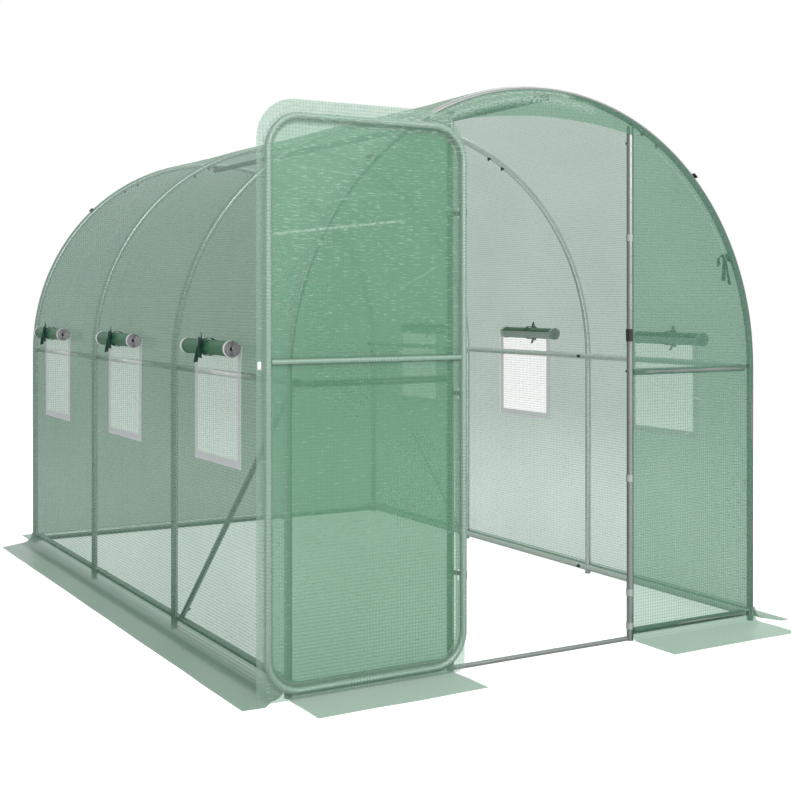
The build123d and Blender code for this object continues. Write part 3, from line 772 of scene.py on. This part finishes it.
for hoop_y in hoop_ys:
    for lean in joint_leans:
        up = Vector((math.sin(math.radians(lean)), 0, math.cos(math.radians(lean))))
        bolt(Vector((0, hoop_y, leg_top)) + up * (bow_r - tube_r), -up)
    for inward, word in ((1, "left"), (-1, "right")):
        for rail in (f"{word}_waist_rail", f"{word}_base_rail"):
            rail_low, rail_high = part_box(rail)
            face_x = rail_high.x if inward > 0 else rail_low.x
            rail_y = hoop_y + (rail_bolt_in if hoop_y < 0 else -rail_bolt_in)
            rail_y = max(-rail_bolt_end, min(rail_bolt_end, rail_y))
            bolt((face_x, rail_y, (rail_low.z + rail_high.z) / 2), (inward, 0, 0))
for post in ("left_door_post", "right_door_post"):
    post_low, post_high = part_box(post)
    for height in post_bolt_heights:
        bolt(((post_low.x + post_high.x) / 2, post_high.y, height), (0, 1, 0))
for inward, brace in ((1, "left_brace"), (-1, "right_brace")):
    brace_low, brace_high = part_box(brace)
    face_x = brace_high.x if inward > 0 else brace_low.x
    foot_y, top_y = (brace_high.y, brace_low.y) if inward > 0 else (brace_low.y, brace_high.y)
    for share in brace_bolt_shares:
        height = brace_low.z + (brace_high.z - brace_low.z) * share
        bolt((face_x, foot_y + (top_y - foot_y) * share, height), (inward, 0, 0))
# The bolts take the darkest copy of the zinc: painted shade.
frame_bolts = make_object("frame_bolts", bolt_mesh, hinge_steel)
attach(frame_bolts, "frame")

# Door film: one sheet across the door's loop of tube, slack enough to crease.
# It ends at the tube, with rounded corners and with room for the hinge straps.
# Painted highlights along the door film's crease and a few small folds; the first lies on the modelled crease.
door_fold_highlights = (
    ((0.115, 1.567), 0.006, (-1.10, -0.58), 0.75), ((0.16, 1.690), 0.003, (-0.90, -0.62), 0.4),
    ((0.50, 1.585), 0.003, (-0.62, -0.44), 0.4), ((-0.10, 1.560), 0.003, (-1.02, -0.70), 0.35),
    ((0.55, 2.150), 0.003, (-0.70, -0.58), 0.5))
# A lighter copy of the film for the door, painted light where it faces the lamp, with painted glints dense towards
# the top.
lit_door_green = woven_film("lit_door_green", (0.15, 0.50, 0.28), (0.23, 0.37, 0.28), 0.53, 0.68, 0.42,
                        sheen=0.4, crease_highlights=("Y", 0.95, 1.40, 0.13), fold_highlights=door_fold_highlights)
door_y = -1.5482
panel_left, panel_right = -1.087, -0.373
panel_foot, panel_head = 0.034, 1.814
panel_r = 0.113
strap_heights = (0.33, 0.93, 1.53)
strap_notch = 0.018
panel_notch_x = -0.391
fold_z, fold_slope, fold_rise = 1.446, 0.115, 0.003
wave_depth, ripple_depth = 0.0016, 0.0010


def cut_notches(cloth, edge_x):
    """Cuts room for the hinge straps out of the edge on their side, from edge_x outwards."""
    for height in strap_heights:
        for edge in (-strap_notch, strap_notch):
            split_cloth(cloth, (0, height + edge, 0), (0, 1, 0))
    notches = [face for face in cloth.faces if face.calc_center_median().x > edge_x
               and any(abs(face.calc_center_median().y - height) < strap_notch for height in strap_heights)]
    bmesh.ops.delete(cloth, geom=notches, context="FACES")


def rounded_end(x):
    """How far a rounded corner falls back from the sheet's top or bottom edge."""
    side = min(x - panel_left, panel_right - x)
    return 0.0 if side >= panel_r else panel_r - math.sqrt(max(0.0, panel_r ** 2 - (panel_r - side) ** 2))


def crease(x, z):
    """The slack of the door film: long low waves and one sharp crease across the upper part."""
    wave = 0.5 + 0.5 * noise.noise(Vector((x * 4.0, z * 2.0, 1.0)))
    small = 0.5 + 0.5 * noise.noise(Vector((x * 9.0, z * 30.0, 5.0)))
    line = fold_z + fold_slope * (x + 1.05) - z
    along = min(1.0, max(0.0, (x + 1.08) / 0.05)) * min(1.0, max(0.0, (-0.60 - x) / 0.06))
    ridge = max(0.0, 1.0 - abs(line) / 0.010) * along
    upper = min(1.0, max(0.0, (z - 0.9) / 0.4))
    return wave_depth * wave + ripple_depth * small * upper + fold_rise * ridge


def door_cloth(x, z):
    """The film hangs on the tunnel side of the open door's loop."""
    return Vector((x, door_y + crease(x, z), z))


panel = cut_cloth((0.0, 0.0), (1.0, 1.0), (110, 260))
for vert in panel.verts:
    x = panel_left + (panel_right - panel_left) * (1 - math.cos(math.pi * vert.co.x)) / 2
    fall = rounded_end(x)
    vert.co = (x, panel_foot + fall + (panel_head - panel_foot - 2 * fall) * vert.co.y, 0)
cut_notches(panel, panel_notch_x)
panel_area = sum(face.calc_area() for face in panel.faces)
door_film = hang_cloth("door_sheet", panel, lit_door_green, door_cloth, "door", turned=True)
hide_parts("door_film")

# Door hem: the same film folded over the tube, and on past it as a loose edge.
# It goes once round the loop, in rows from inside the tube out to the film's rounded outline.
# A much lighter copy of the door film for the hem: a painted sheen on the doubled film, with painted glints dense
# near the top.
lit_hem_green = woven_film("lit_hem_green", (0.42, 0.60, 0.49), (0.35, 0.47, 0.39), 0.44, 0.60, 0.5,
                       crease_highlights=("Y", 1.60, 1.75, 0.20))
door_left, door_right = -1.118, -0.363
door_foot, door_head = 0.008, 1.863
foot_r, head_r = 0.030, 0.130
loop_half_w, loop_half_h, loop_r = 0.354, 0.887, 0.110
loop_x, loop_z = -0.730, 0.924
door_tube_y = -1.560
on_sheet = 0.0006
loop_girth = 4 * (loop_half_w + loop_half_h - 2 * loop_r) + 2 * math.pi * loop_r


def on_loop(share):
    """A point of the tube's centre line and the way out of the loop, going round from the top left."""
    walk = share * loop_girth
    for turn in range(4):
        straight = 2 * ((loop_half_w if turn % 2 == 0 else loop_half_h) - loop_r)
        facing = math.pi / 2 - turn * math.pi / 2
        out = Vector((math.cos(facing), math.sin(facing)))
        onward = Vector((math.sin(facing), -math.cos(facing)))
        reach = (loop_half_h if turn % 2 == 0 else loop_half_w)
        if walk <= straight:
            return Vector((loop_x, loop_z)) + out * reach + onward * (walk - straight / 2), out
        walk -= straight
        corner = Vector((loop_x, loop_z)) + out * (reach - loop_r) + onward * (straight / 2)
        if walk <= loop_r * math.pi / 2:
            angle = facing - walk / loop_r
            out = Vector((math.cos(angle), math.sin(angle)))
            return corner + out * loop_r, out
        walk -= loop_r * math.pi / 2
    return on_loop(0.0)


def inside_outline(point):
    """How far a point lies inside the door film's outline."""
    middle = Vector(((door_left + door_right) / 2, (door_foot + door_head) / 2))
    half = Vector(((door_right - door_left) / 2, (door_head - door_foot) / 2))
    radius = head_r if point.y > middle.y else foot_r
    side = Vector((abs(point.x - middle.x), abs(point.y - middle.y))) - half + Vector((radius, radius))
    outside = Vector((max(side.x, 0.0), max(side.y, 0.0))).length
    return radius - outside - min(max(side.x, side.y), 0.0)


hem_rows = (-0.023, -0.0195, -0.0165, -0.0145, -0.0132, -0.0125, -0.0110, -0.0085, -0.0055, 0.0,
            0.0055, 0.0085, 0.0110, 0.0125, 0.0145, 0.0165, 0.0195)
edge_rows = 6
row_gaps = len(hem_rows) + edge_rows - 1
hem_notch_x = -0.3655
sleeve_half, sleeve_r, sleeve_fall = 0.0115, 0.0121, 0.008
sleeve_gap, rise_beside, drop_beyond = 0.0004, 0.0042, 0.0102
hem = cut_cloth((0.0, 0.0), (1.0, 1.0), (420, row_gaps))
for vert in hem.verts:
    row = round(vert.co.y * row_gaps)
    spot, out = on_loop(vert.co.x)
    limit = 0.0
    for step in range(14):
        limit += inside_outline(spot + out * limit)
    offset = min(hem_rows[min(row, len(hem_rows) - 1)], limit)
    if row >= len(hem_rows):
        offset += (limit - offset) * (row - len(hem_rows) + 1) / edge_rows
    place = spot + out * offset
    vert.co = (place.x, place.y, offset)
cut_notches(hem, hem_notch_x)
lay_weave(hem)
for vert in hem.verts:
    x, z, offset = vert.co
    side = abs(offset)
    if side < sleeve_half:
        rise = sleeve_gap + math.sqrt(sleeve_r ** 2 - side ** 2)
    else:
        fall = min(1.0, (side - sleeve_half) / sleeve_fall)
        rise = rise_beside * (1 - fall) - drop_beyond * fall ** 0.7
    ruffle = 0.0006 * noise.noise(Vector((x * 14.0, z * 14.0, offset * 60.0)))
    vert.co = (x, min(door_tube_y - rise + ruffle, door_y - on_sheet), z)
bmesh.ops.remove_doubles(hem, verts=hem.verts, dist=1e-5)
door_hem = make_object("door_hem", hem, lit_hem_green)
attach(door_hem, "door")

# Bar sleeve: a narrow strip of the same film holds the bar across the door to the sheet.
# It lies over the bar's face and ends on the sheet just above and below.
bar_low, bar_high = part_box("door_mid_bar")
bar_mid = (bar_low + bar_high) / 2
bar_r = (bar_high.z - bar_low.z) / 2
strip_w = 2 * bar_r + 0.006


def over_bar(x, out):
    """From the sheet above the bar, over its face and back to the sheet below it."""
    reach = min(1.0, max(0.0, (strip_w / 2 - abs(out)) / (strip_w / 2 - bar_r)))
    front = bar_mid.y - math.sqrt(max(0.0, (bar_r + on_sheet) ** 2 - min(abs(out), bar_r) ** 2))
    return Vector((x, front * reach + (door_y - on_sheet) * (1 - reach), bar_mid.z + out))


strip = cut_cloth((bar_low.x, -strip_w / 2), (bar_high.x - bar_low.x, strip_w), (90, 24))
# The sleeve takes the hem's lighter finish: painted light, so that the doubled film shows no dark band.
bar_sleeve = hang_cloth("bar_sleeve", strip, lit_hem_green, over_bar, "door", turned=True)

low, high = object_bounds()
